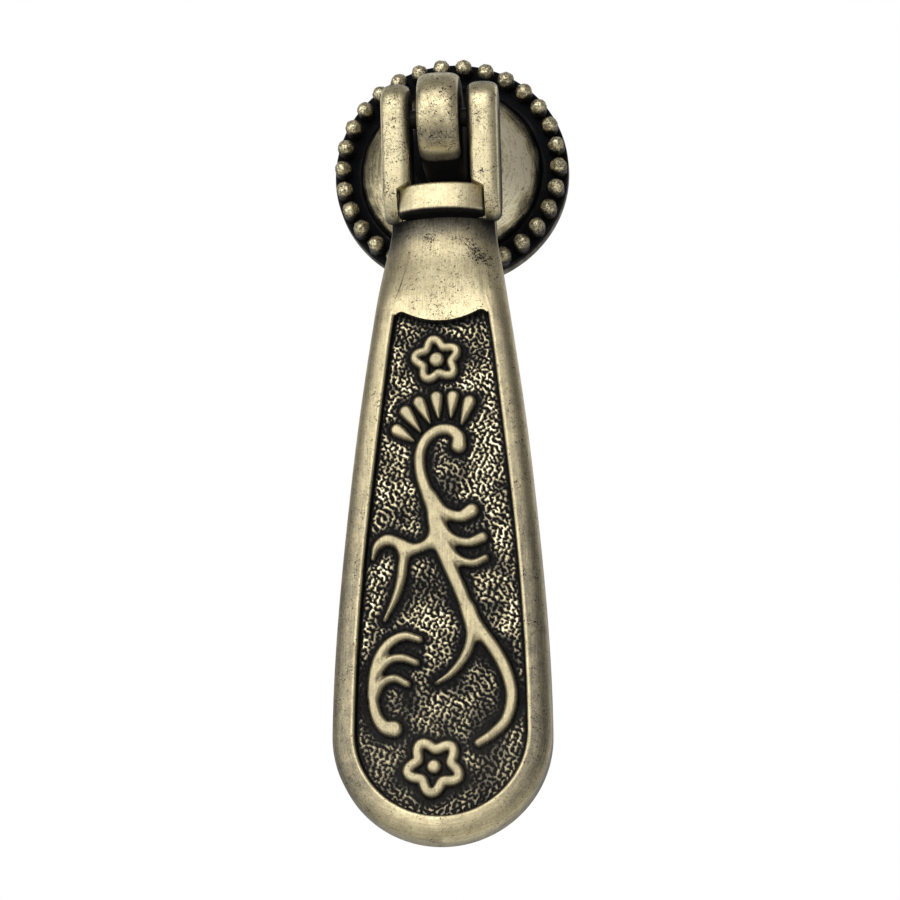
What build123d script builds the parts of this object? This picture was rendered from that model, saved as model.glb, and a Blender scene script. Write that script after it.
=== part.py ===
"""Drop-pull cabinet handle: a beaded rosette, a post with an eye, a pin and a long carved pendant.

The frame's origin is the centre of the rosette's back face, where it meets the door. +Z is up, +X is
to the right seen from the front, and the handle stands out of the door towards -Y.
"""

import os
from math import acos, atan2, cos, hypot, pi, radians, sin, sqrt

from build123d import *

# Rosette, in millimetres. Depths are measured forward from the door.
plate_radius = 13.0
plate_edge = 1.7
groove_depth = 1.4
groove_inner_radius = 10.1
dome_radius = 9.8
dome_foot = 2.0
dome_crown = 5.4
plate_wall = 1.5
hub_radius = 4.7
edge_round = 0.4

# Beads round the rosette
bead_count = 30
bead_radius = 0.86
bead_ring_radius = 11.95
bead_tip = 4.05
bead_crown_bevel = 0.5
bead_shoulder_bevel = 0.22
bead_sides = 10
bead_turn = 4.4

# Post that the pendant hangs from
collar_radius = 4.4
collar_height = 1.6
collar_bevel = 0.4
spigot_radius = 3.0
spigot_set_back = 0.2
spigot_clearance = 0.05
thread_radius = 1.65
thread_depth = 6.6
eye_width = 4.65
eye_radius = 4.9
eye_foot_half_height = 3.6
eye_bevel = 0.6

# Hinge pin
pin_radius = 1.0
pin_clearance = 0.05
pin_end_chamfer = 0.25
pin_stand_off = 14.5
pin_height = 1.0

# Pendant. It hangs with its centre of mass below the pin, so it leans by this angle.
hang_angle = 4.05
pendant_thickness = 4.2
rim_set_back = 0.6
neck_set_back = 2.4
neck_top = 8.5
neck_slope_bottom = 10.2
neck_bend_top = 11.0
neck_bend_bottom = 21.5
neck_half_width = 5.6
shoulder_half_width = 6.43
shoulder_drop = 16.55
waist_half_width = 9.39
waist_drop = 39.85
paddle_half_width = 11.03
paddle_centre_drop = 67.05
front_bevel = 1.2
back_bevel = 0.5

# Fork arms and the pillow between them
arm_gap = 6.4
arm_width = 3.05
arm_tip_radius = 3.0
arm_tip_rise = 0.9
arm_foot_radius = 3.3
arm_foot_set_back = 2.7
arm_foot_drop = 7.5
arm_bevel = 0.6
pillow_half_width = 4.55
pillow_top_drop = 7.45
pillow_height = 3.3
pillow_end_set_back = 1.0
pillow_crown = 1.0
pillow_bevel = 0.4
pillow_depth = 4.0
pillow_groove = 0.15
pillow_groove_depth = 0.5

# Sunk panel with its carving
panel_depth = 0.9
panel_top_drop = 21.5
panel_top_half_width = 4.7
panel_top_sag = 1.6
panel_mid_half_width = 7.4
panel_mid_drop = 44.2
panel_radius = 8.5
carving_height = 0.75
carving_root = 0.1
carving_steps = 3
carving_sides = 12
flower_steps = 40
flower_outer_share = 0.88
flower_inner_share = 0.51
flower_lobe_share = 0.12
flower_bead_share = 0.26
drop_radius = 0.65
drop_widths = [1.0, 0.4]

hang = radians(hang_angle)
forward = (0, -cos(hang), sin(hang))
pin_centre = (0, -pin_stand_off, pin_height)
face_plane = Plane(origin=pin_centre, x_dir=(1, 0, 0), z_dir=forward)
side_plane = Plane(origin=pin_centre, x_dir=forward, z_dir=(-1, 0, 0))
level_plane = Plane(origin=pin_centre, x_dir=(1, 0, 0), z_dir=(0, sin(hang), cos(hang)))

dome_rise = dome_crown - dome_foot
dome_sphere = (dome_radius**2 + dome_rise**2) / (2 * dome_rise)
dome_centre = dome_crown - dome_sphere
seat_depth = dome_centre + sqrt(dome_sphere**2 - collar_radius**2)
relief_sphere = dome_sphere - plate_wall
relief_radius = sqrt(relief_sphere**2 - dome_centre**2)
hub_relief_depth = dome_centre + sqrt(relief_sphere**2 - hub_radius**2)
half_fork = arm_gap / 2 + arm_width
arm_bottom_drop = arm_foot_drop + arm_foot_radius
paddle_bottom_drop = paddle_centre_drop + paddle_half_width


def belt_outline(start_centre, start_radius, end_centre, end_radius):
    """Draw two round ends joined by their outer tangents."""
    run_x = end_centre[0] - start_centre[0]
    run_y = end_centre[1] - start_centre[1]
    heading = atan2(run_y, run_x)
    lean = acos((start_radius - end_radius) / hypot(run_x, run_y))

    def on_start(angle):
        return start_centre[0] + start_radius * cos(angle), start_centre[1] + start_radius * sin(angle)

    def on_end(angle):
        return end_centre[0] + end_radius * cos(angle), end_centre[1] + end_radius * sin(angle)

    Line(on_start(heading + lean), on_end(heading + lean))
    ThreePointArc(on_end(heading + lean), on_end(heading), on_end(heading - lean))
    Line(on_end(heading - lean), on_start(heading - lean))
    ThreePointArc(on_start(heading - lean), on_start(heading + pi), on_start(heading + lean))


def arc_middle(sphere_radius, start_radius, end_radius):
    """Point of the dome's section halfway between two radii."""
    radius = (start_radius + end_radius) / 2
    return radius, -(dome_centre + sqrt(sphere_radius**2 - radius**2))


# One bead of the rosette, upright: a post with a domed top of facets
with BuildPart() as bead:
    with BuildSketch(Plane.XY.offset(groove_depth / 2)):
        RegularPolygon(bead_radius, bead_sides)
    extrude(amount=bead_tip - groove_depth / 2)
    chamfer(bead.faces().sort_by(Axis.Z)[-1].edges(), bead_crown_bevel)
    chamfer(bead.edges().filter_by(Plane.XY).group_by(Axis.Z)[1], bead_shoulder_bevel)

# Rosette: a turned form, hollow behind the dome, with beads standing on its rim
bore_radius = spigot_radius + spigot_clearance
with BuildPart() as backplate:
    with BuildSketch(Plane.XY):
        with BuildLine():
            Polyline(
                (bore_radius, -seat_depth),
                (bore_radius, 0),
                (plate_radius, 0),
                (plate_radius, -(plate_edge - edge_round)),
                (plate_radius - edge_round, -plate_edge),
                (plate_radius - 2 * bead_radius, -plate_edge),
                (groove_inner_radius, -groove_depth),
                (dome_radius, -dome_foot),
            )
            ThreePointArc(
                (dome_radius, -dome_foot),
                arc_middle(dome_sphere, dome_radius, collar_radius),
                (collar_radius, -seat_depth),
            )
            Line((collar_radius, -seat_depth), (bore_radius, -seat_depth))
        make_face()
    revolve(axis=Axis.Y)
    with BuildSketch(Plane.XY):
        with BuildLine():
            Polyline((relief_radius, 0), (hub_radius, 0), (hub_radius, -hub_relief_depth))
            ThreePointArc(
                (hub_radius, -hub_relief_depth),
                arc_middle(relief_sphere, hub_radius, relief_radius),
                (relief_radius, 0),
            )
        make_face()
    revolve(axis=Axis.Y, mode=Mode.SUBTRACT)
    with Locations(Plane.XZ):
        with PolarLocations(bead_ring_radius, bead_count, start_angle=90 + bead_turn):
            add(bead.part)
backplate.part.label = "backplate"

# Post: an eye on a round collar, with a spigot through the rosette and a blind tapped hole
eye_centre = (-pin_stand_off, pin_height)
foot_depth = seat_depth + collar_height / 2
collar_front = seat_depth + collar_height
with BuildPart() as hinge_post:
    with BuildSketch(Plane.YZ):
        with BuildLine():
            belt_outline(eye_centre, eye_radius, (-foot_depth, 0), eye_foot_half_height)
        make_face()
    extrude(amount=eye_width / 2, both=True)
    split(bisect_by=Plane.XZ.offset(foot_depth), keep=Keep.TOP)
    chamfer(hinge_post.faces().filter_by(Axis.X).edges(), eye_bevel)
    with BuildSketch(Plane.XY):
        with BuildLine():
            Polyline((0, -spigot_set_back), (spigot_radius, -spigot_set_back), (spigot_radius, -seat_depth),
                     (collar_radius, -seat_depth), (collar_radius, collar_bevel - collar_front),
                     (collar_radius - collar_bevel, -collar_front), (0, -collar_front), close=True)
        make_face()
    revolve(axis=Axis.Y)
    with BuildSketch(Plane.XZ.offset(spigot_set_back)):
        Circle(thread_radius)
    extrude(amount=thread_depth, mode=Mode.SUBTRACT)
    with BuildSketch(Plane.YZ):
        with Locations(eye_centre):
            Circle(pin_radius + pin_clearance)
    extrude(amount=eye_width, both=True, mode=Mode.SUBTRACT)
hinge_post.part.label = "hinge_post"

# Pin: pressed into the fork's arms and loose in the post's eye
with BuildPart() as hinge_pin:
    with BuildSketch(side_plane.offset(-half_fork)):
        Circle(pin_radius)
    extrude(amount=2 * half_fork)
    chamfer(hinge_pin.edges().filter_by(GeomType.CIRCLE), pin_end_chamfer)
hinge_pin.part.label = "hinge_pin"


# One arm of the fork: a rounded bar with its larger end round the pin
with BuildPart() as fork_arm:
    with BuildSketch(side_plane.offset(arm_gap / 2)):
        with BuildLine():
            belt_outline((0, arm_tip_rise), arm_tip_radius,
                         (-arm_foot_set_back, -arm_foot_drop), arm_foot_radius)
        make_face()
    extrude(amount=arm_width)
    chamfer(fork_arm.faces().filter_by(Axis.X).edges(), arm_bevel)

# The pillow: a crowned bar that closes the fork below the pin
pillow_bottom_drop = pillow_top_drop + pillow_height
with BuildPart() as pillow:
    with BuildSketch(level_plane.offset(-pillow_bottom_drop)):
        with BuildLine():
            ThreePointArc((-pillow_half_width, pillow_end_set_back),
                          (0, pillow_end_set_back - pillow_crown),
                          (pillow_half_width, pillow_end_set_back))
            Polyline((pillow_half_width, pillow_end_set_back),
                     (pillow_half_width, pillow_end_set_back + pillow_depth),
                     (-pillow_half_width, pillow_end_set_back + pillow_depth),
                     (-pillow_half_width, pillow_end_set_back))
        make_face()
    extrude(amount=pillow_height)
    pillow_front = pillow.faces().sort_by(Axis.Y)[0]
    chamfer(pillow_front.edges(), pillow_bevel)


def carve_rib(points, widths):
    """Draw one tapering rib of the scrollwork, with its width given at each of its points."""
    spine = Edge.make_spline([Vector(*point) for point in points])
    steps = carving_steps * (len(points) - 1)
    left = []
    right = []
    for step in range(steps + 1):
        along = step / steps * (len(points) - 1)
        before = min(int(along), len(points) - 2)
        width = widths[before] + (along - before) * (widths[before + 1] - widths[before])
        place = spine.position_at(step / steps)
        aside = spine.tangent_at(step / steps).rotate(Axis.Z, 90) * (width / 2)
        left.append(place + aside)
        right.append(place - aside)
    right.reverse()
    Polygon(left + right, align=None)


def carve_bead(centre, radius):
    """Draw one round bead of the scrollwork."""
    with Locations(centre):
        RegularPolygon(radius, carving_sides)


def flower_ring(centre, radius, size, turn):
    """Points of a closed curve with five lobes."""
    ring = []
    for step in range(flower_steps):
        angle = 2 * pi * step / flower_steps
        reach = radius + flower_lobe_share * size * cos(5 * (angle - radians(turn)))
        ring.append((centre[0] + reach * cos(angle), centre[1] + reach * sin(angle)))
    return ring


def carve_flower(centre, size, turn):
    """Draw a five-lobed ribbon flower with a bead in its middle."""
    Polygon(flower_ring(centre, flower_outer_share * size, size, turn), align=None)
    Polygon(flower_ring(centre, flower_inner_share * size, size, turn), align=None, mode=Mode.SUBTRACT)
    carve_bead(centre, flower_bead_share * size)


# Pendant: one casting of fork, neck and paddle
paddle_front = -rim_set_back
paddle_back = -(rim_set_back + pendant_thickness)
neck_front = -neck_set_back
neck_back = -(neck_set_back + pendant_thickness)
panel_plane = face_plane.offset(paddle_front)
floor_plane = face_plane.offset(paddle_front - panel_depth)
pillow_face = -pillow_end_set_back


def outline_edges(pendant_part, deepest, highest):
    """Edges that follow the pendant's outline and lie between two depths along the pin's forward axis."""
    chosen = ShapeList()
    for edge in pendant_part.edges() - pendant_part.edges().filter_by(Axis.X):
        start, middle, end = [face_plane.to_local_coords(edge.position_at(share)) for share in (0, 0.5, 1)]
        runs_through_thickness = abs(start.Z - end.Z) > pendant_thickness / 2
        if deepest - depth_slack <= middle.Z <= highest + depth_slack and not runs_through_thickness:
            chosen.append(edge)
    return chosen


casting_reach = paddle_half_width + front_bevel
depth_slack = 0.01
with BuildPart() as pendant:
    with BuildSketch(side_plane.offset(-casting_reach)):
        with BuildLine():
            Polyline((neck_back, -neck_bend_top), (neck_back, -neck_slope_bottom),
                     (-arm_foot_set_back, -neck_top), (neck_front, -neck_top),
                     (neck_front, -neck_bend_top))
            Spline((neck_front, -neck_bend_top), (paddle_front, -neck_bend_bottom),
                   tangents=[(0, -1), (0, -1)])
            Polyline((paddle_front, -neck_bend_bottom), (paddle_front, -paddle_bottom_drop),
                     (paddle_back, -paddle_bottom_drop), (paddle_back, -neck_bend_bottom))
            Spline((paddle_back, -neck_bend_bottom), (neck_back, -neck_bend_top),
                   tangents=[(0, 1), (0, 1)])
        make_face()
    extrude(amount=2 * casting_reach)
    with BuildSketch(face_plane):
        with BuildLine():
            Spline((neck_half_width, -neck_bend_top), (shoulder_half_width, -shoulder_drop),
                   (waist_half_width, -waist_drop), (paddle_half_width, -paddle_centre_drop),
                   tangents=[(0, -1), (0, -1)])
            ThreePointArc((paddle_half_width, -paddle_centre_drop), (0, -paddle_bottom_drop),
                          (-paddle_half_width, -paddle_centre_drop))
            Spline((-paddle_half_width, -paddle_centre_drop), (-waist_half_width, -waist_drop),
                   (-shoulder_half_width, -shoulder_drop), (-neck_half_width, -neck_bend_top),
                   tangents=[(0, 1), (0, 1)])
            Polyline((-neck_half_width, -neck_bend_top), (-neck_half_width, 0), (neck_half_width, 0),
                     (neck_half_width, -neck_bend_top))
        make_face()
    extrude(amount=2 * (neck_set_back + pendant_thickness), both=True, mode=Mode.INTERSECT)
    chamfer(outline_edges(pendant, neck_back, paddle_back), back_bevel)
    chamfer(outline_edges(pendant, neck_front, paddle_front), front_bevel)
    add(fork_arm.part)
    mirror(fork_arm.part, about=Plane.YZ)
    notch_reach = pillow_half_width + pillow_groove
    with BuildSketch(side_plane.offset(-notch_reach)):
        with BuildLine():
            Polyline((pillow_face - pillow_groove_depth, -pillow_top_drop),
                     (arm_tip_radius, -pillow_top_drop), (arm_tip_radius, -arm_bottom_drop),
                     (neck_front, -arm_bottom_drop), close=True)
        make_face()
    extrude(amount=2 * notch_reach, mode=Mode.SUBTRACT)
    add(pillow.part)
    with BuildSketch(side_plane.offset(-2 * half_fork)):
        Circle(pin_radius)
    extrude(amount=4 * half_fork, mode=Mode.SUBTRACT)
    with BuildSketch(panel_plane):
        with BuildLine():
            ThreePointArc((-panel_top_half_width, -panel_top_drop),
                          (0, -panel_top_drop - panel_top_sag),
                          (panel_top_half_width, -panel_top_drop))
            ThreePointArc((panel_top_half_width, -panel_top_drop),
                          (panel_mid_half_width, -panel_mid_drop),
                          (panel_radius, -paddle_centre_drop))
            ThreePointArc((panel_radius, -paddle_centre_drop),
                          (0, -paddle_centre_drop - panel_radius),
                          (-panel_radius, -paddle_centre_drop))
            ThreePointArc((-panel_radius, -paddle_centre_drop),
                          (-panel_mid_half_width, -panel_mid_drop),
                          (-panel_top_half_width, -panel_top_drop))
        make_face()
    extrude(amount=-panel_depth, mode=Mode.SUBTRACT)
    with BuildSketch(floor_plane.offset(-carving_root)):
        carve_flower((-0.3, -27.2), 2.7, 23)
        carve_flower((-0.6, -70.6), 3.2, 47)
        # Six drops in a fan
        for head, tail in [((-4.5, -34.9), (-2.8, -36.2)), ((-3.6, -32.9), (-2.2, -35.2)),
                           ((-2.3, -31.9), (-1.1, -34.2)), ((-0.5, -31.3), (-0.3, -33.8)),
                           ((1.2, -31.4), (1.0, -33.6)), ((2.9, -32.0), (2.1, -34.4))]:
            carve_bead(head, drop_radius)
            carve_rib([head, tail], drop_widths)
        # Main stem, from the bead in its hook down to the panel's lower right
        carve_bead((1.8, -36.9), 0.85)
        carve_rib([(2.2, -36.8), (1.9, -35.4), (0.5, -34.8), (-1.1, -35.3), (-2.1, -36.8), (-2.2, -38.7),
                   (-1.5, -41.3), (-0.7, -43.5), (-0.4, -46.3), (0.6, -49.1), (2.0, -52.1), (3.1, -55.0),
                   (4.1, -56.8), (5.5, -58.7), (6.6, -60.9), (7.1, -63.6), (6.4, -66.1), (4.9, -67.5),
                   (3.6, -68.3)],
                  [0.9, 1.1, 1.2, 1.2, 1.3, 1.3, 1.3, 1.3, 1.4, 1.4, 1.4, 1.4, 1.4, 1.4, 1.4, 1.4, 1.3,
                   1.1, 0.7])
        # Shoots to the right
        carve_bead((3.6, -43.9), 0.75)
        carve_rib([(-0.7, -42.9), (1.0, -44.3), (2.5, -44.5), (3.7, -43.8)], [0.8, 1.1, 1.2, 1.2])
        carve_rib([(-0.4, -45.2), (1.6, -46.8), (3.3, -47.0), (4.7, -46.5)], [0.8, 1.0, 1.1, 1.1])
        carve_rib([(0.3, -47.8), (2.2, -49.0), (3.8, -49.3), (5.0, -48.9)], [0.8, 1.0, 1.0, 0.6])
        # Shoots to the left
        carve_rib([(-0.4, -46.6), (-1.8, -47.3), (-3.1, -47.5), (-4.2, -46.9), (-5.4, -46.6),
                   (-6.2, -47.3), (-6.5, -48.5)], [1.0, 1.1, 1.2, 1.2, 1.1, 0.9, 0.4])
        carve_rib([(-3.2, -47.4), (-3.5, -49.4), (-3.7, -51.3), (-4.5, -53.4), (-5.5, -55.5)],
                  [1.0, 1.1, 1.1, 0.9, 0.4])
        carve_rib([(3.0, -54.9), (3.1, -57.4), (2.6, -59.4), (1.1, -61.1), (-0.4, -62.1)],
                  [1.0, 1.1, 1.1, 0.9, 0.4])
        # Curl with two leaves at the lower left
        carve_bead((-4.5, -66.6), 0.9)
        carve_rib([(-1.8, -57.3), (-3.3, -57.0), (-5.0, -57.8), (-6.2, -59.2), (-6.7, -61.3),
                   (-6.6, -64.0), (-5.9, -66.0), (-4.6, -66.7)],
                  [0.7, 1.0, 1.2, 1.2, 1.2, 1.3, 1.3, 1.2])
        carve_rib([(-6.5, -60.4), (-4.9, -59.3), (-3.5, -59.4), (-2.1, -59.9)], [0.8, 1.0, 1.0, 0.6])
        carve_rib([(-6.7, -62.3), (-5.3, -61.3), (-4.0, -61.5), (-2.9, -62.0)], [0.8, 1.0, 1.0, 0.6])
    extrude(amount=carving_root + carving_height)
pendant.part.label = "pendant"

os.makedirs("parts", exist_ok=True)
export_step(backplate.part, "parts/backplate.step")
export_step(hinge_post.part, "parts/hinge_post.step")
export_step(hinge_pin.part, "parts/hinge_pin.step")
export_step(pendant.part, "parts/pendant.step")
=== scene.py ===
from math import acos, atan2, cos, hypot, pi, radians, sin, sqrt

import bmesh
import bpy
import numpy as np
from mathutils import Matrix, Quaternion, Vector, noise
from mathutils.kdtree import KDTree


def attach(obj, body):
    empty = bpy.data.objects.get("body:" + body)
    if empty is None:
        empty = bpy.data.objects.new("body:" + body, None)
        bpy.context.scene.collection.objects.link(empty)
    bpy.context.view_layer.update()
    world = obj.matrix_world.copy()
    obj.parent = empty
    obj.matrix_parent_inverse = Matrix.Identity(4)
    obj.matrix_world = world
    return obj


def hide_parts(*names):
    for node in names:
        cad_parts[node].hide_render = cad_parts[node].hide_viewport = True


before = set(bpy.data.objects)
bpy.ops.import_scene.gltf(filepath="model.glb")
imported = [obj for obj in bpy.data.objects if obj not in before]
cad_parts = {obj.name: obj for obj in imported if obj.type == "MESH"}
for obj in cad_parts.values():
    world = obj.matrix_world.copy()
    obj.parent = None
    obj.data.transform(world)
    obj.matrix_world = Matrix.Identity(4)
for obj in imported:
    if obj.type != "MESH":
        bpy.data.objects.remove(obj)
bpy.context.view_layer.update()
MM = 0.001

# The room: white paper all round, a pale floor under the handle and a large soft lamp at the upper left.
# The camera stands a little to the right of the handle and below it, and looks up through a long lens.
camera_azimuth = radians(5.2)
camera_elevation = radians(-16.52)
camera_distance = 300 * MM
camera_roll = radians(-0.42)
camera_aim = Vector((0.17, -8.0, -34.0)) * MM
floor_height = -140 * MM
floor_half_width = 4.0


def paint(hex_colour):
    """Linear colour with alpha for an sRGB hex value such as #c7b994."""
    channels = [int(hex_colour[at:at + 2], 16) / 255 for at in (1, 3, 5)]
    return [c / 12.92 if c <= 0.04045 else ((c + 0.055) / 1.055) ** 2.4 for c in channels] + [1.0]


def add_node(tree, kind, inputs=None, **settings):
    """Add a node, set its properties, and fill its inputs with values, sockets or nodes' first outputs."""
    node = tree.nodes.new(kind)
    for name, value in settings.items():
        setattr(node, name, value)
    for socket, value in (inputs or {}).items():
        if isinstance(value, bpy.types.Node):
            value = value.outputs[0]
        if isinstance(value, bpy.types.NodeSocket):
            tree.links.new(value, node.inputs[socket])
        else:
            node.inputs[socket].default_value = value
    return node


def new_material(name):
    """An empty node material and its tree."""
    material = bpy.data.materials.new(name)
    material.use_nodes = True
    material.node_tree.nodes.clear()
    return material, material.node_tree


camera_back = Vector((sin(camera_azimuth) * cos(camera_elevation),
                      -cos(camera_azimuth) * cos(camera_elevation), sin(camera_elevation)))
camera = bpy.data.objects.new("camera", bpy.data.cameras.new("camera"))
camera.data.sensor_width = 36
camera.data.lens = 113.78
camera.data.clip_start = 0.01
camera.location = camera_aim + camera_back * camera_distance
camera.rotation_mode = "QUATERNION"
camera.rotation_quaternion = (-camera_back).to_track_quat("-Z", "Y") @ Quaternion((0, 0, 1), camera_roll)
bpy.context.scene.collection.objects.link(camera)
bpy.context.scene.camera = camera
bpy.context.scene.view_settings.view_transform = "Standard"


def lamp(name, place, aim, width, power, colour):
    """A square soft box that faces a point."""
    light = bpy.data.lights.new(name, "AREA")
    light.size = width
    light.energy = power
    light.color = paint(colour)[:3]
    holder = bpy.data.objects.new(name, light)
    holder.location = Vector(place)
    holder.rotation_mode = "QUATERNION"
    holder.rotation_quaternion = (Vector(aim) - Vector(place)).to_track_quat("-Z", "Y")
    bpy.context.scene.collection.objects.link(holder)


lamp("key_softbox", (-0.13, -0.60, 0.25), (0, -0.01, -0.03), 0.60, 3.2, "#fffdfa")
lamp("left_softbox", (-0.55, -0.38, 0.02), (0, -0.01, -0.03), 0.34, 0.9, "#ffffff")
lamp("low_softbox", (0.05, -0.60, -0.25), (0, -0.01, -0.03), 0.30, 0.9, "#f6f8ff")

# White paper behind the handle, which the camera and the metal both see, and a grey room in front of it.
world = bpy.data.worlds.new("paper_room")
bpy.context.scene.world = world
world.use_nodes = True
room = world.node_tree
room.nodes.clear()
direction = add_node(room, "ShaderNodeTexCoord")
towards = add_node(room, "ShaderNodeSeparateXYZ", {0: direction.outputs["Generated"]})
behind = add_node(room, "ShaderNodeMapRange", {0: towards.outputs["Y"], 1: 0.0, 2: 0.6, 3: 0.0, 4: 1.0})
paper_shade = add_node(room, "ShaderNodeValToRGB", {0: behind})
paper_shade.color_ramp.elements[0].color = paint("#929090")
paper_shade.color_ramp.elements[1].color = paint("#ffffff")
paper = add_node(room, "ShaderNodeBackground", {"Color": paint("#ffffff"), "Strength": 1.0})
reflected_paper = add_node(room, "ShaderNodeBackground", {"Color": paper_shade, "Strength": 1.0})
room_light = add_node(room, "ShaderNodeBackground", {"Color": paint("#ffffff"), "Strength": 0.75})
ray = add_node(room, "ShaderNodeLightPath")
seen = add_node(room, "ShaderNodeMath", operation="MAXIMUM",
                inputs={0: ray.outputs["Is Camera Ray"], 1: ray.outputs["Is Transmission Ray"]})
for_metal = add_node(room, "ShaderNodeMixShader",
                     {0: ray.outputs["Is Glossy Ray"], 1: room_light, 2: reflected_paper})
for_camera = add_node(room, "ShaderNodeMixShader", {0: seen, 1: for_metal, 2: paper})
add_node(room, "ShaderNodeOutputWorld", {0: for_camera})

floor_mesh = bpy.data.meshes.new("floor")
floor_mesh.from_pydata([(-floor_half_width, -floor_half_width, floor_height),
                        (floor_half_width, -floor_half_width, floor_height),
                        (floor_half_width, floor_half_width, floor_height),
                        (-floor_half_width, floor_half_width, floor_height)], [], [(0, 1, 2, 3)])
floor = bpy.data.objects.new("floor", floor_mesh)
bpy.context.scene.collection.objects.link(floor)
floor_paint, tree = new_material("pale_paper_floor")
floor_place = add_node(tree, "ShaderNodeTexCoord").outputs["Object"]
paper_grain = add_node(tree, "ShaderNodeTexNoise", {"Vector": floor_place, "Scale": 900.0})
shade = add_node(tree, "ShaderNodeMix", {"Factor": paper_grain, 6: paint("#e6e5e2"), 7: paint("#eeedea")},
                 data_type="RGBA")
surface = add_node(tree, "ShaderNodeBsdfPrincipled", {"Base Color": shade.outputs[2], "Roughness": 0.85})
add_node(tree, "ShaderNodeOutputMaterial", {0: surface})
floor_mesh.materials.append(floor_paint)


# The rosette: a zinc casting, turned in form, plated with brass, blackened and brushed on the lathe.
# Its dome shows fine rings from the brush, and the plating stays black in the groove round it.
plate_radius = 13.0
plate_edge = 1.7
edge_round = 0.4
groove_depth = 1.4
groove_inner_radius = 10.1
groove_outer_radius = 11.28
dome_radius = 9.8
dome_foot = 2.0
dome_crown = 5.4
plate_wall = 1.5
hub_radius = 4.7
bore_radius = 3.05
collar_radius = 4.4
turning_steps = 192

dome_rise = dome_crown - dome_foot
dome_sphere = (dome_radius**2 + dome_rise**2) / (2 * dome_rise)
dome_centre = dome_crown - dome_sphere
seat_depth = dome_centre + sqrt(dome_sphere**2 - collar_radius**2)
relief_sphere = dome_sphere - plate_wall
relief_radius = sqrt(relief_sphere**2 - dome_centre**2)


def finish_shading(mesh, crease):
    """Smooth shading that breaks at edges sharper than the crease angle."""
    mesh.polygons.foreach_set("use_smooth", [True] * len(mesh.polygons))
    mesh.set_sharp_from_angle(angle=radians(crease))


def make_piece(name, points, faces, crease=40):
    """An object from points in millimetres, with doubles merged, faces outwards and creases sharp."""
    mesh = bpy.data.meshes.new(name)
    mesh.from_pydata([tuple(np.asarray(point) * MM) for point in points], [], faces)
    shell = bmesh.new()
    shell.from_mesh(mesh)
    bmesh.ops.remove_doubles(shell, verts=shell.verts, dist=0.0004 * MM)
    bmesh.ops.recalc_face_normals(shell, faces=shell.faces)
    shell.to_mesh(mesh)
    shell.free()
    finish_shading(mesh, crease)
    piece = bpy.data.objects.new(name, mesh)
    bpy.context.scene.collection.objects.link(piece)
    return piece


def places(mesh):
    """The mesh's points in millimetres, as an array with a row for each."""
    spots = np.empty(len(mesh.vertices) * 3)
    mesh.vertices.foreach_get("co", spots)
    return spots.reshape(-1, 3) / MM


def mark(mesh, name, values):
    """Store one number for each point of the mesh under a name that materials can read."""
    layer = mesh.attributes.new(name, "FLOAT", "POINT")
    layer.data.foreach_set("value", np.asarray(values, np.float32))


def ease(first, last, values):
    """Nought up to the first value, one past the last, and a smooth rise between. Last may be the lower."""
    share = np.clip((values - first) / (last - first), 0, 1)
    return share * share * (3 - 2 * share)


def rounded(corners, steps=4):
    """An open line of (x, y, radius) corners as points, with each corner replaced by a short curve."""
    line = []
    for number, (x, y, radius) in enumerate(corners):
        if radius == 0 or number in (0, len(corners) - 1):
            line.append((x, y))
            continue
        here = Vector((x, y))
        before = Vector(corners[number - 1][:2]) - here
        after = Vector(corners[number + 1][:2]) - here
        start = here + before.normalized() * min(radius, before.length / 2)
        end = here + after.normalized() * min(radius, after.length / 2)
        for step in range(steps + 1):
            share = step / steps
            line.append(tuple(start * (1 - share) ** 2 + here * 2 * share * (1 - share) + end * share**2))
    return line


def between_rings(ring_count, ring_size, goes_round=False):
    """Faces between rings of points in a row, and from the last ring to the first if the row goes round."""
    faces = []
    for ring in range(ring_count if goes_round else ring_count - 1):
        here, there = ring * ring_size, (ring + 1) % ring_count * ring_size
        for spot in range(ring_size):
            after = (spot + 1) % ring_size
            faces.append((here + spot, here + after, there + after, there + spot))
    return faces


def turned(profile, steps):
    """Points and faces of a form turned about the Y axis from a closed line of (radius, depth) points."""
    points = []
    for step in range(steps):
        angle = 2 * pi * step / steps
        points += [(radius * sin(angle), -depth, radius * cos(angle)) for radius, depth in profile]
    return points, between_rings(steps, len(profile), goes_round=True)


dome_line = [(radius, dome_centre + sqrt(dome_sphere**2 - radius**2))
             for radius in np.linspace(bore_radius + 0.3, dome_radius, 26)]
relief_line = [(radius, dome_centre + sqrt(relief_sphere**2 - radius**2))
               for radius in np.linspace(relief_radius - 0.15, hub_radius, 14)]
rim_line = rounded([(dome_radius, dome_foot, 0), (groove_inner_radius, groove_depth, 0.25),
                    (groove_outer_radius, plate_edge, 0.3), (plate_radius, plate_edge, edge_round),
                    (plate_radius, 0, 0.15), (relief_radius, 0, 0.2), (relief_radius - 0.15, 0.3, 0)])
hub_line = rounded([(hub_radius, relief_line[-1][1], 0), (hub_radius, 0, 0.2), (bore_radius, 0, 0.1),
                    (bore_radius, seat_depth - 0.1, 0)])
rosette = make_piece("rosette_plate",
                     *turned(dome_line + rim_line[1:-1] + relief_line + hub_line[1:], turning_steps))

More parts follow.
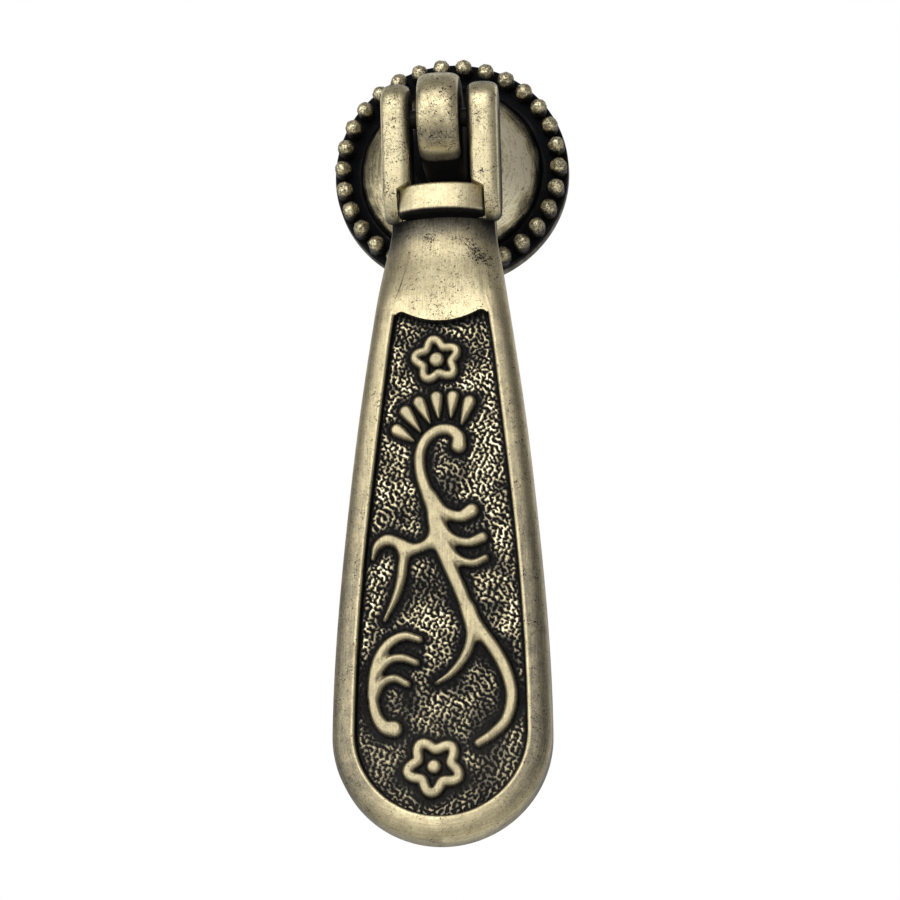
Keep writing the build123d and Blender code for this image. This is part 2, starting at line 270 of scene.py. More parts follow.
spots = places(rosette.data)
from_axis = np.hypot(spots[:, 0], spots[:, 2])
facing_front = ease(1.0, 1.6, -spots[:, 1])
# Painted light: the dome is painted lighter towards its right side. Its dark border is a noisy ring which
# starts further out on the left.
dome_border = from_axis + 0.9 * np.array([noise.noise((x * 0.3, depth, z * 0.3)) for x, depth, z in spots])
dome_border = dome_border - 0.9 * ease(2, 8, -spots[:, 0])
dome_rub = (0.86 + 0.024 * spots[:, 0]) * (1 - 0.8 * ease(8.3, 10.0, dome_border))
dome_rub = dome_rub * (1 - ease(9.6, 10.1, from_axis))
rim_rub = -0.04 + 0.16 * ease(12.5, 12.9, from_axis)
front_rub = np.where(from_axis < 10.6, dome_rub, rim_rub)
# Painted shadow, with black patina where the brush can't reach: the dome darkens round the collar behind the
# eye and in a band behind the fork.
front_rub = front_rub * (0.08 + 0.92 * ease(collar_radius + 0.2, collar_radius + 2.0, from_axis))
in_fork_shade = (1 - ease(3.4, 4.6, np.abs(spots[:, 0]))) * (from_axis < 10.6)
front_rub = front_rub * (1 - 0.92 * in_fork_shade)
mark(rosette.data, "rub", facing_front * front_rub + (1 - facing_front) * 0.42)
mark(rosette.data, "pitting", np.full(len(spots), 0.35))


def antique_brass(name, brush_vector, brush_depth, mottle_size, pit_size, shine, mottling=0.42):
    """Brass plate over cast zinc, blackened and then rubbed: pale on high spots, with black pits.

    One point value says how bare the plate is, with painted light and shade mixed into it on several pieces,
    and the pitting value says how many pits it has. The brush vector takes the tree and gives the coordinates
    of the brush lines. Sizes are in millimetres.
    """
    material, tree = new_material(name)
    rub = add_node(tree, "ShaderNodeAttribute", attribute_name="rub").outputs["Fac"]
    pitting = add_node(tree, "ShaderNodeAttribute", attribute_name="pitting").outputs["Fac"]
    place = add_node(tree, "ShaderNodeTexCoord").outputs["Object"]
    mottle = add_node(tree, "ShaderNodeTexNoise", {"Vector": place, "Scale": 1 / (mottle_size * MM),
                                                   "Detail": 4.0, "Roughness": 0.62})
    grit = add_node(tree, "ShaderNodeTexNoise", {"Vector": place, "Scale": 1 / (0.22 * MM),
                                                 "Detail": 2.0, "Roughness": 0.6})
    brush = add_node(tree, "ShaderNodeTexNoise", {"Vector": brush_vector(tree), "Scale": 1.0,
                                                  "Detail": 3.0, "Roughness": 0.65})
    pit_zone = add_node(tree, "ShaderNodeTexNoise", {"Vector": place, "Scale": 1 / (1.7 * MM), "Detail": 1.0})
    pit_wish = add_node(tree, "ShaderNodeTexNoise", {"Vector": place, "Scale": 1 / (2.2 * pit_size * MM),
                                                     "Detail": 1.5, "Distortion": 1.6})
    for pattern, share in ((pitting, 0.16), (pit_zone, 0.24)):
        pit_wish = add_node(tree, "ShaderNodeMath", {0: pattern, 1: share, 2: pit_wish},
                            operation="MULTIPLY_ADD")
    pits = add_node(tree, "ShaderNodeMapRange", {0: pit_wish, 1: 0.80, 2: 0.90},
                    interpolation_type="SMOOTHSTEP")
    uneven = -mottling - brush_depth / 2
    for pattern, share in ((mottle, mottling), (brush, brush_depth), (grit, mottling)):
        uneven = add_node(tree, "ShaderNodeMath", {0: pattern, 1: share, 2: uneven}, operation="MULTIPLY_ADD")
    steady_black = add_node(tree, "ShaderNodeMapRange", {0: rub, 1: 0.0, 2: 0.25, 3: 0.25, 4: 1.0},
                            interpolation_type="SMOOTHSTEP")
    bare = rub
    for pattern, share in ((uneven, steady_black), (pits, -0.50)):
        bare = add_node(tree, "ShaderNodeMath", {0: pattern, 1: share, 2: bare}, operation="MULTIPLY_ADD")
    colour = add_node(tree, "ShaderNodeValToRGB", {0: bare})
    stops = colour.color_ramp.elements
    stops[0].position = 0.02
    stops[0].color = paint("#101113")
    stops[1].color = paint("#e7dfc3")
    for position, shade in ((0.22, "#2c2b29"), (0.45, "#6b6659"), (0.68, "#a49a7c"), (0.86, "#ccc29f")):
        stops.new(position).color = paint(shade)
    roughness = add_node(tree, "ShaderNodeMapRange", {0: bare, 1: 0.1, 2: 0.9, 3: 0.62, 4: shine},
                         interpolation_type="SMOOTHSTEP")
    height = 0.0
    for pattern, share in ((pits, -1.0), (grit, 0.5), (brush, 0.35)):
        height = add_node(tree, "ShaderNodeMath", {0: pattern, 1: share, 2: height}, operation="MULTIPLY_ADD")
    bump = add_node(tree, "ShaderNodeBump", {"Strength": 0.35, "Distance": 0.05 * MM, "Height": height})
    surface = add_node(tree, "ShaderNodeBsdfPrincipled",
                       {"Base Color": colour, "Metallic": 1.0, "Roughness": roughness, "Normal": bump})
    add_node(tree, "ShaderNodeOutputMaterial", {0: surface})
    return material


def ring_lines(tree):
    """Coordinates of brush lines that run round the rosette's axis and break off along their length.

    They are 0.26 mm apart, coarser than the real ones, so that they show.
    """
    place = add_node(tree, "ShaderNodeTexCoord").outputs["Object"]
    apart = add_node(tree, "ShaderNodeSeparateXYZ", {0: place}).outputs
    flat = add_node(tree, "ShaderNodeCombineXYZ", {0: apart["X"], 2: apart["Z"]})
    radius = add_node(tree, "ShaderNodeVectorMath", {0: flat}, operation="LENGTH").outputs["Value"]
    angle = add_node(tree, "ShaderNodeMath", {0: apart["X"], 1: apart["Z"]}, operation="ARCTAN2")
    round_axis = add_node(tree, "ShaderNodeCombineXYZ", {0: radius, 1: angle})
    return add_node(tree, "ShaderNodeMapping", {0: round_axis, "Scale": (1 / (0.26 * MM), 3.5, 1.0)})


# Lathe-brushed antique brass: broken rings that catch the light in two fans, and a dull black edge
rosette.data.materials.append(antique_brass("lathe_brushed_antique_brass", ring_lines, brush_depth=1.1,
                                            mottle_size=1.6, pit_size=0.12, shine=0.38))
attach(rosette, "base")
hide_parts("backplate")


# The beads: thirty round studs cast with the rosette, black down their sides and rubbed on their tips.
# Their tips are lightly hammered, so that each catches the light in a few small spots.
bead_inputs = {"Bead count": ("NodeSocketInt", 30), "Ring radius": ("NodeSocketFloat", 11.95 * MM),
               "Bead radius": ("NodeSocketFloat", 0.90 * MM), "Tip height": ("NodeSocketFloat", 4.05 * MM),
               "Root height": ("NodeSocketFloat", 1.0 * MM), "First angle": ("NodeSocketFloat", radians(1.6)),
               "Dent depth": ("NodeSocketFloat", 0.15 * MM), "Seed": ("NodeSocketFloat", 3.0)}


def bead_ring_tree(material):
    """Node tree that stands round-topped beads in a ring about the Y axis."""
    tree = bpy.data.node_groups.new("bead_ring", "GeometryNodeTree")
    for name, (kind, value) in bead_inputs.items():
        tree.interface.new_socket(name, in_out="INPUT", socket_type=kind).default_value = value
    tree.interface.new_socket("Geometry", in_out="OUTPUT", socket_type="NodeSocketGeometry")
    size = add_node(tree, "NodeGroupInput").outputs
    ring = add_node(tree, "GeometryNodeMeshCircle",
                    {"Vertices": size["Bead count"], "Radius": size["Ring radius"]})
    ball = add_node(tree, "GeometryNodeMeshUVSphere",
                    {"Segments": 32, "Rings": 22, "Radius": size["Bead radius"]})
    place = add_node(tree, "GeometryNodeInputPosition")
    height = add_node(tree, "ShaderNodeSeparateXYZ", {0: place}).outputs["Z"]
    below = add_node(tree, "FunctionNodeCompare", {0: height, 1: -0.01 * MM}, data_type="FLOAT",
                     operation="LESS_THAN")
    shaft = add_node(tree, "ShaderNodeMath", {0: size["Root height"], 1: size["Tip height"]},
                     operation="SUBTRACT")
    stretch = add_node(tree, "ShaderNodeMath", {0: size["Bead radius"], 1: 2.0, 2: shaft},
                       operation="MULTIPLY_ADD")
    drop = add_node(tree, "ShaderNodeCombineXYZ", {2: stretch})
    marked = add_node(tree, "GeometryNodeSetPosition", {"Geometry": ball, "Selection": below, "Offset": drop})
    share = add_node(tree, "ShaderNodeMath", {0: height, 1: size["Bead radius"]}, operation="DIVIDE")
    rub = add_node(tree, "ShaderNodeMapRange", {0: share, 1: -0.2, 2: 0.7, 3: 0.14, 4: 0.76})
    for name, value in (("rub", rub), ("pitting", 0.75)):
        marked = add_node(tree, "GeometryNodeStoreNamedAttribute",
                          {"Geometry": marked, "Name": name, "Value": value}, domain="POINT")
    lift = add_node(tree, "ShaderNodeMath", {0: size["Tip height"], 1: size["Bead radius"]},
                    operation="SUBTRACT")
    rise = add_node(tree, "ShaderNodeCombineXYZ", {2: lift})
    raised = add_node(tree, "GeometryNodeTransform", {"Geometry": marked, "Translation": rise})
    beads = add_node(tree, "GeometryNodeInstanceOnPoints", {"Points": ring, "Instance": raised})
    solid = add_node(tree, "GeometryNodeRealizeInstances", {"Geometry": beads})
    turn = add_node(tree, "ShaderNodeCombineXYZ", {0: radians(90), 1: size["First angle"]})
    upright = add_node(tree, "GeometryNodeTransform", {"Geometry": solid, "Rotation": turn})
    dents = add_node(tree, "ShaderNodeTexNoise",
                     {"Vector": place, "W": size["Seed"], "Scale": 1 / (0.36 * MM), "Detail": 1.0},
                     noise_dimensions="4D")
    dent_share = add_node(tree, "ShaderNodeMath", {0: dents, 1: 2.0, 2: -1.0}, operation="MULTIPLY_ADD")
    push = add_node(tree, "ShaderNodeMath", {0: dent_share, 1: size["Dent depth"]}, operation="MULTIPLY")
    outwards = add_node(tree, "GeometryNodeInputNormal")
    shift = add_node(tree, "ShaderNodeVectorMath", {0: outwards, 3: push}, operation="SCALE")
    dented = add_node(tree, "GeometryNodeSetPosition", {"Geometry": upright, "Offset": shift})
    smooth = add_node(tree, "GeometryNodeSetShadeSmooth", {"Geometry": dented})
    finished = add_node(tree, "GeometryNodeSetMaterial", {"Geometry": smooth, "Material": material})
    add_node(tree, "NodeGroupOutput", {0: finished})
    return tree


def grow(name, tree, sizes):
    """Run a node tree on an empty object, with its inputs set by name, and return the plain mesh object."""
    holder = bpy.data.objects.new(name + "_plan", bpy.data.meshes.new(name + "_plan"))
    bpy.context.scene.collection.objects.link(holder)
    modifier = holder.modifiers.new("plan", "NODES")
    modifier.node_group = tree
    for item in tree.interface.items_tree:
        if item.item_type == "SOCKET" and item.in_out == "INPUT":
            modifier[item.identifier] = sizes[item.name][1]
    mesh = bpy.data.meshes.new_from_object(holder.evaluated_get(bpy.context.evaluated_depsgraph_get()))
    bpy.data.objects.remove(holder)
    mesh.name = name
    piece = bpy.data.objects.new(name, mesh)
    bpy.context.scene.collection.objects.link(piece)
    return piece


def with_no_direction(grain_size):
    """Coordinates for antique_brass on a surface that was tumbled or hammered, not brushed.

    The grain size is in millimetres.
    """
    def coordinates(tree):
        place = add_node(tree, "ShaderNodeTexCoord").outputs["Object"]
        return add_node(tree, "ShaderNodeMapping", {0: place, "Scale": [1 / (grain_size * MM)] * 3})
    return coordinates


# Hammered antique brass: shiny tips with dents 0.2 mm across, which break each highlight into small spots
bead_brass = antique_brass("hammered_antique_brass", with_no_direction(0.2), brush_depth=1.5,
                           mottle_size=0.6, pit_size=0.10, shine=0.38)
beads = grow("rosette_beads", bead_ring_tree(bead_brass), bead_inputs)
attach(beads, "base")
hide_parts("backplate")


# The hinge post: a cast eye on a round collar, with a spigot through the rosette and a tapped hole.
# Its round front is rubbed pale, with pits left by the casting, and its edges are softly rounded.
pin_place = (14.5, 1.0)
eye_radius = 4.9
eye_half_width = 2.23
eye_foot_half_height = 3.6
collar_height = 1.6
collar_round = 0.45
spigot_radius = 3.0
spigot_set_back = 0.2
thread_radius = 1.65
thread_root = 1.95
thread_pitch = 0.7
thread_depth = 6.6
pin_bore_radius = 1.05
on_axis = 0.001
foot_depth = seat_depth + collar_height / 2
collar_front = seat_depth + collar_height


def belt_line(start, start_radius, end, end_radius, inset, arc_steps=30, side_steps=14):
    """Closed line round two circles and their outer tangents, drawn in by an inset all round."""
    run = (end[0] - start[0], end[1] - start[1])
    heading = atan2(run[1], run[0])
    lean = acos((start_radius - end_radius) / hypot(*run))
    arcs = [(end, end_radius - inset, heading + lean, heading - lean),
            (start, start_radius - inset, heading - lean, heading + lean - 2 * pi)]
    line = []
    for (centre, radius, first, last), (next_centre, next_radius, *_) in (arcs, arcs[::-1]):
        for step in range(arc_steps + 1):
            angle = first + (last - first) * step / arc_steps
            line.append((centre[0] + radius * cos(angle), centre[1] + radius * sin(angle)))
        begin = line[-1]
        finish = (next_centre[0] + next_radius * cos(last), next_centre[1] + next_radius * sin(last))
        for step in range(1, side_steps):
            share = step / side_steps
            line.append((begin[0] + (finish[0] - begin[0]) * share,
                         begin[1] + (finish[1] - begin[1]) * share))
    return line


def bar_faces(ring_count, ring_size):
    """Faces of a bar made of rings of points, with a flat end on its first ring and on its last."""
    ends = [tuple(range(start, start + ring_size)) for start in (0, (ring_count - 1) * ring_size)]
    return between_rings(ring_count, ring_size) + ends


def cushioned_bar(outline, half_width, edge_reach, squareness, steps=22):
    """Points (across, first, second) and faces of a bar whose outline draws in towards its two sides."""
    rings = []
    for step in range(steps + 1):
        turn = pi * step / steps
        across = -half_width * np.sign(cos(turn)) * abs(cos(turn)) ** (2 / squareness)
        inset = edge_reach * (1 - abs(sin(turn)) ** (2 / squareness))
        rings.append([(across, first, second) for first, second in outline(inset)])
    return [point for ring in rings for point in ring], bar_faces(len(rings), len(rings[0]))


def join_by(kind, piece, other):
    """Unite a piece with another closed form, or cut that form away from it, and remove the other."""
    modifier = piece.modifiers.new("joint", "BOOLEAN")
    modifier.operation = kind
    modifier.solver = "EXACT"
    modifier.object = other
    mesh = bpy.data.meshes.new_from_object(piece.evaluated_get(bpy.context.evaluated_depsgraph_get()))
    piece.modifiers.remove(modifier)
    old, piece.data = piece.data, mesh
    bpy.data.meshes.remove(old)
    bpy.data.objects.remove(other)
    mesh.name = piece.name


eye_points, eye_faces = cushioned_bar(
    lambda inset: belt_line(pin_place, eye_radius, (foot_depth, 0), eye_foot_half_height, inset),
    eye_half_width, edge_reach=1.0, squareness=3.0)
post = make_piece("post_casting", [(across, -depth, height) for across, depth, height in eye_points],
                  eye_faces)
tapped_line = [(thread_radius, spigot_set_back + thread_depth)]
for turn_number in range(int(thread_depth / thread_pitch) - 1, -1, -1):
    turn_start = spigot_set_back + turn_number * thread_pitch
    tapped_line += [(thread_radius, turn_start + 0.60 * thread_pitch),
                    (thread_root, turn_start + 0.35 * thread_pitch),
                    (thread_radius, turn_start + 0.10 * thread_pitch)]
collar_line = rounded([(thread_radius, spigot_set_back, 0), (spigot_radius, spigot_set_back, 0.3),
                       (spigot_radius, seat_depth, 0), (collar_radius, seat_depth, 0.1),
                       (collar_radius, collar_front, collar_round), (on_axis, collar_front, 0)])
collar = make_piece("collar", *turned([(on_axis, spigot_set_back + thread_depth)] + tapped_line
                                      + collar_line, steps=72))
pin_hole_line = [(on_axis, -4), (pin_bore_radius, -4), (pin_bore_radius, 4), (on_axis, 4)]
pin_hole = make_piece("pin_hole", *turned(pin_hole_line, steps=48))
pin_hole.data.transform(Matrix.Translation(Vector((0, -pin_place[0], pin_place[1])) * MM)
                        @ Matrix.Rotation(radians(90), 4, "Z"))
join_by("UNION", post, collar)
join_by("DIFFERENCE", post, pin_hole)
finish_shading(post.data, crease=38)

spots = places(post.data)
round_eye = np.degrees(np.arctan2(spots[:, 2] - pin_place[1], -spots[:, 1] - pin_place[0]))
eye_reach = np.hypot(spots[:, 2] - pin_place[1], -spots[:, 1] - pin_place[0])
# Painted light on the eye: its top is painted grey, its underside black from patina and painted shadow, and a
# painted shade band crosses its front where it faces down.
front_of_eye = ease(-92, -80, round_eye) * (1 - ease(75, 125, round_eye)) * ease(3.0, 4.3, eye_reach)
front_of_eye *= 1 - 0.5 * ease(50, 72, round_eye)
# Painted shade on the eye's side faces, which stand in the dark gaps beside the arms.
shaded_eye_side = ease(0.97, 1.0, np.abs(spots[:, 0]) / eye_half_width)
down_facing_shade = np.exp(-((round_eye + 41) / 13) ** 2)
post_rub = 0.04 + front_of_eye * (0.70 - 0.20 * down_facing_shade) * (1 - 0.9 * shaded_eye_side)
# Painted reflection: a brighter strip along the eye's lower edge.
post_rub += 0.45 * ease(-58, -72, round_eye) * front_of_eye * (1 - shaded_eye_side)
inside_hole = np.hypot(spots[:, 0], spots[:, 2]) < spigot_radius - 0.4
post_rub = np.where(inside_hole & (spots[:, 1] > -seat_depth - 1), 0.35, post_rub)
mark(post.data, "rub", post_rub)
mark(post.data, "pitting", 0.35 + 0.25 * front_of_eye)

# Tumbled antique brass: smooth and warm where it is rubbed, with brown clouds, casting pits and no lines
post.data.materials.append(antique_brass("tumbled_antique_brass", with_no_direction(0.5), brush_depth=0.18,
                                         mottle_size=1.3, pit_size=0.13, shine=0.36))
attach(post, "base")
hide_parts("hinge_post")


# The hinge pin: drawn steel wire, cut to length and pressed through both arms of the fork.
# Little of it shows between the eye and the arms, where it is dull and dark.

# Drawn steel: faint lines along the wire, twelve to the millimetre, under a dull grey oxide, coloured near
# black as painted shade for the dark gap the pin sits in
pin_steel, tree = new_material("drawn_steel_pin")
pin_coordinates = add_node(tree, "ShaderNodeTexCoord").outputs["Object"]
drawing_lines = add_node(tree, "ShaderNodeMapping",
                         {0: pin_coordinates, "Scale": (0.8 / MM, 12 / MM, 12 / MM)})
streaks = add_node(tree, "ShaderNodeTexNoise", {"Vector": drawing_lines, "Scale": 1.0, "Detail": 3.0})
steel_and_shade_colour = add_node(tree, "ShaderNodeMix", {"Factor": streaks, 6: paint("#0b0a0a"), 7: paint("#3a3733")},
                        data_type="RGBA")
steel_bump = add_node(tree, "ShaderNodeBump", {"Strength": 0.2, "Distance": 0.01 * MM, "Height": streaks})
surface = add_node(tree, "ShaderNodeBsdfPrincipled",
                   {"Base Color": steel_and_shade_colour.outputs[2], "Metallic": 1.0, "Roughness": 0.55,
                    "Normal": steel_bump})
add_node(tree, "ShaderNodeOutputMaterial", {0: surface})
pin_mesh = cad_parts["hinge_pin"].data
pin_mesh.materials.clear()
pin_mesh.materials.append(pin_steel)


# The pendant: one zinc casting of a fork, a pillow across it, a bent neck and a long paddle.
# The paddle's rim is brushed along its length, and its sunk panel carries raised scrollwork on a black,
# pebbled ground. Drops are measured down the pendant from the pin, and depths forward from the pin.
hang_angle = radians(4.05)
thickness = 4.2
rim_front = -0.6
neck_front = -2.4
neck_top = 8.5
neck_slope_bottom = 10.2
neck_bend_top = 11.0
panel_top = 21.5
panel_top_sag = 1.6
round_end_drop = 67.05
paddle_knots = [(neck_top, 5.55, 0.0), (neck_bend_top, 5.55, 0.02), (16.55, 6.35, 0.145),
                (39.85, 9.30, 0.094), (round_end_drop, 10.95, 0.0)]
panel_knots = [(neck_top, 3.0, 0.06), (panel_top, 4.95, 0.115), (36.5, 6.60, 0.108), (50.95, 7.95, 0.075),
               (round_end_drop, 8.60, 0.0)]
rim_round_depth = 1.45
back_round = 0.5
panel_depth = 0.9
wall_draft = 0.16
spacing = 0.13
neck_spacing = 0.25
end_stations = 103
floor_columns = 129
back_columns = 11


def curve_through(knots, drops):
    """Smooth curve through (drop, value, slope) knots."""
    drops = np.asarray(drops, float)
    values = np.full(drops.shape, knots[-1][1])
    for (start, low, low_slope), (end, high, high_slope) in zip(knots, knots[1:]):
        span = end - start
        share = np.clip((drops - start) / span, 0, 1)
        arc = (low * (2 * share**3 - 3 * share**2 + 1) + low_slope * span * (share**3 - 2 * share**2 + share)
               + high * (3 * share**2 - 2 * share**3) + high_slope * span * (share**3 - share**2))
        values = np.where((drops >= start) & (drops < end), arc, values)
    return values


# Stations down the pendant: along the neck, down the panel's top wall, along the panel, round its end
neck_drops = np.arange(neck_top, panel_top, neck_spacing)
neck_drops = np.append(neck_drops[neck_drops < panel_top - 0.1], panel_top)
wall_steps = np.array([0.05, 0.11, 0.19])
wall_depths = np.array([0.25, 0.80, 1.0])
straight_drops = np.arange(panel_top + wall_steps[-1] + spacing, round_end_drop, spacing)
end_angles = np.linspace(0, pi / 2, end_stations)
row_drop = np.concatenate([neck_drops, panel_top + wall_steps, straight_drops,
                           np.full(end_stations, round_end_drop)])
row_angle = np.concatenate([np.zeros(len(row_drop) - end_stations), end_angles])
row_sunk = np.interp(row_drop, np.concatenate([[panel_top], panel_top + wall_steps]),
                     np.concatenate([[0], wall_depths]))
row_sag = panel_top_sag * np.where(row_drop <= panel_top, ease(14.0, panel_top, row_drop),
                                   1 - ease(panel_top + 0.3, panel_top + 4.6, row_drop))
row_half = curve_through(paddle_knots, row_drop)
row_panel = curve_through(panel_knots, row_drop)
row_front = neck_front + (rim_front - neck_front) * ease(neck_bend_top, panel_top, row_drop)
row_thickness = thickness * np.interp(row_drop, [neck_top, neck_slope_bottom], [0.22, 1.0])
row_round = 2.7 - 1.2 * ease(14.0, 27.0, row_drop)


def rim_section(row):
    """(radius, depth) points of the rim in one station, from the foot of the panel's wall to the back."""
    panel, half, sunk, reach = row_panel[row], row_half[row], row_sunk[row], row_round[row]
    section = [(panel - wall_draft, -panel_depth * sunk), (panel - 0.10, -0.55 * panel_depth * sunk),
               (panel - 0.03, -0.20 * panel_depth * sunk), (panel + 0.06, -0.05 * sunk),
               (panel + 0.20, 0.015 * sunk), (panel + 0.42, 0.0)]
    for turn in np.radians([0, 18, 36, 54, 72, 90]):
        section.append((half - reach + reach * sin(turn), -rim_round_depth * (1 - cos(turn))))
    section.append((half, -rim_round_depth - 0.8))
    section.append((half, back_round - thickness))
    section.append((half - 0.3 * back_round, 0.3 * back_round - thickness))
    section.append((half - back_round, -thickness))
    return np.array(section)


rim_sections = np.array([rim_section(row) for row in range(len(row_drop))])
rim_radius, rim_depth = rim_sections[:, :, 0], rim_sections[:, :, 1]

# Points of a section: five up the panel's wall, one on the rim, six round its shoulder and four behind
wall_points = 5
front_points = 12
rim_place = np.arange(rim_radius.shape[1])[None, :]
cosine, sine = np.cos(row_angle)[:, None], np.sin(row_angle)[:, None]
across_panel = np.linspace(-1, 1, floor_columns)[None, 1:-1]
across_back = np.linspace(1, -1, back_columns)[None, 1:-1]
floor_x = across_panel * rim_radius[:, :1] * cosine
floor_drop = row_drop[:, None] + rim_radius[:, :1] * sine + row_sag[:, None] * (
    1 - across_panel**2 + 0.5 * np.clip((np.abs(across_panel) - 0.8) / 0.2, 0, 1) ** 2)
back_x = across_back * rim_radius[:, -1:] * cosine
back_drop = row_drop[:, None] + rim_radius[:, -1:] * sine + 0 * across_back
rim_x = rim_radius * cosine
sag_shares = [0.5, 0.5, 0.48, 0.44, 0.32, 0.16, 0.06]
rim_sag = row_sag[:, None] * np.append(sag_shares, np.zeros(rim_place.size - len(sag_shares)))
rim_drop = row_drop[:, None] + rim_radius * sine + rim_sag


# The scrollwork: round-backed ribs that taper, drops in a fan, and two flowers of one looped rib each.
# A rib is a list of (across, drop) points down its middle and its half widths at even steps along it. A
# flower is its centre, its loop's radius, its lobes' reach and turn, the rib's half width and the boss.
stem_and_shoots = [
    ([(1.8, 36.9), (1.75, 35.9), (0.9, 35.15), (-0.4, 35.15), (-1.6, 36.1), (-2.2, 37.7), (-2.1, 39.8),
      (-1.5, 41.8), (-0.9, 43.7), (-0.5, 46.2), (0.4, 48.8), (1.7, 51.9), (2.9, 54.9), (4.1, 56.9),
      (5.4, 58.8), (6.5, 61.0), (7.05, 63.5), (6.5, 65.9), (5.1, 67.4), (3.7, 68.3)],
     [0.86, 0.70, 0.62, 0.62, 0.64, 0.68, 0.74, 0.76, 0.74, 0.72, 0.70, 0.70, 0.68, 0.60, 0.50]),
    ([(-0.9, 42.4), (0.3, 44.0), (1.9, 44.6), (3.1, 44.0)], [0.50, 0.60, 0.66, 0.80]),
    ([(-0.5, 44.9), (1.0, 46.8), (2.7, 47.4), (4.2, 46.9)], [0.50, 0.54, 0.54, 0.62]),
    ([(0.0, 47.4), (1.7, 49.1), (3.2, 49.6), (4.5, 49.1)], [0.50, 0.50, 0.48, 0.42]),
    ([(-0.5, 46.6), (-1.9, 47.7), (-3.5, 47.9), (-4.5, 47.2), (-5.6, 46.9), (-6.6, 47.6), (-7.0, 48.9)],
     [0.60, 0.58, 0.62, 0.64, 0.66, 0.50, 0.22]),
    ([(-3.7, 47.8), (-3.9, 49.6), (-4.1, 51.2), (-4.7, 53.2), (-5.7, 55.4)], [0.60, 0.57, 0.55, 0.44, 0.24]),
    ([(2.8, 54.6), (3.0, 57.2), (2.4, 59.3), (1.0, 61.1), (-0.5, 62.1)], [0.60, 0.58, 0.54, 0.42, 0.22]),
]
curl_and_leaves = [
    ([(-2.2, 57.5), (-3.7, 57.1), (-5.2, 57.8), (-6.3, 59.4), (-6.8, 61.5), (-6.8, 63.6), (-6.4, 65.4),
      (-5.6, 66.5), (-4.7, 66.7)], [0.42, 0.52, 0.58, 0.62, 0.60, 0.60, 0.66, 0.78, 0.92]),
    ([(-6.4, 60.8), (-5.2, 59.6), (-3.9, 59.4), (-2.5, 59.9)], [0.46, 0.48, 0.50, 0.44]),
    ([(-6.7, 63.1), (-5.7, 61.8), (-4.6, 61.5), (-3.4, 62.1)], [0.44, 0.46, 0.48, 0.44]),
]
drop_ends = [((-4.6, 35.0), (-2.9, 36.2)), ((-3.7, 33.0), (-2.2, 35.2)), ((-2.3, 32.0), (-1.2, 34.3)),
             ((-0.5, 31.5), (-0.3, 33.7)), ((1.2, 31.5), (1.0, 33.7)), ((2.9, 32.1), (2.1, 34.5))]
drops = [(ends, [0.74, 0.62, 0.44, 0.20]) for ends in drop_ends]
flowers = [((-0.5, 27.3), 1.92, 0.38, 27, 0.55, 0.88), ((-0.7, 70.6), 2.20, 0.45, 48, 0.62, 0.80)]
carving_height = 0.72
carving_shoulder = 0.44
rib_step = 0.12
flower_steps = 140


def run_along(points, count):
    """Evenly numbered points of a smooth curve through the given points."""
    given = np.array(points, float)
    padded = np.vstack([2 * given[0] - given[1], given, 2 * given[-1] - given[-2]])
    place = np.linspace(0, len(given) - 1, count)
    start = np.minimum(place.astype(int), len(given) - 2)
    share = (place - start)[:, None]
    before, here, there, after = (padded[start + shift] for shift in range(4))
    return 0.5 * (2 * here + (there - before) * share + (2 * before - 5 * here + 4 * there - after) * share**2
                  + (3 * here - before - 3 * there + after) * share**3)


def outside_rib(middle, half_widths, x, drop):
    """Distance of each place from the edge of a rib, negative inside it."""
    nearest = np.full(x.shape, 99.0)
    for (centre_x, centre_drop), half in zip(middle, half_widths):
        nearest = np.minimum(nearest, np.hypot(x - centre_x, drop - centre_drop) - half)
    return nearest


def flow_together(first, second, reach):
    """The nearer of two distances, with a fillet of the given reach where they meet."""
    share = np.clip(0.5 + 0.5 * (second - first) / reach, 0, 1)
    return second * (1 - share) + first * share - reach * share * (1 - share)


carved = np.full(floor_x.shape, 99.0)
for group, fillet in ((stem_and_shoots, 0.85), (curl_and_leaves, 0.65), (drops, 0.1)):
    grouped = np.full(floor_x.shape, 99.0)
    for points, widths in group:
        length = sum(hypot(end[0] - start[0], end[1] - start[1]) for start, end in zip(points, points[1:]))
        count = max(12, int(length / rib_step))
        half_widths = np.interp(np.linspace(0, 1, count), np.linspace(0, 1, len(widths)), widths)
        outside = outside_rib(run_along(points, count), half_widths, floor_x, floor_drop)
        grouped = flow_together(grouped, outside, fillet)
    carved = np.minimum(carved, grouped)
for (centre_x, centre_drop), radius, lobe, turn, half, boss in flowers:
    angles = np.linspace(0, 2 * pi, flower_steps, endpoint=False)
    reach = radius + lobe * np.cos(5 * (angles - radians(turn)))
    loop = np.stack([centre_x + reach * np.cos(angles), centre_drop - reach * np.sin(angles)], axis=1)
    flower = np.minimum(outside_rib(loop, np.full(len(loop), half), floor_x, floor_drop),
                        np.hypot(floor_x - centre_x, floor_drop - centre_drop) - boss)
    carved = np.minimum(carved, flower)
rise = np.clip(-carved / carving_shoulder, 0, 1)
rib_height = carving_height * (1 - (1 - rise) ** 2.4) ** 0.6

# Pebbled ground: worm-like grains about half a millimetre wide, from waves that run in all directions
grain_size = 0.55
grain_spread = 0.11
grain_waves = 46
grain_relief = 0.13
grain_generator = np.random.default_rng(11)
grain = np.zeros(floor_x.shape)
for wave in range(grain_waves):
    heading = grain_generator.uniform(0, pi)
    wavelength = grain_generator.normal(grain_size, grain_spread)
    start = grain_generator.uniform(0, 2 * pi)
    grain += np.cos(2 * pi / wavelength * (floor_x * cos(heading) + floor_drop * sin(heading)) + start)
grain /= grain.std()


def clouds(per_millimetre, layer):
    """Smooth noise over the floor, from about -1 to 1, with this many clouds to the millimetre."""
    return np.array([[noise.noise((x * per_millimetre, drop * per_millimetre, layer))
                      for x, drop in zip(*row)] for row in zip(floor_x, floor_drop)])


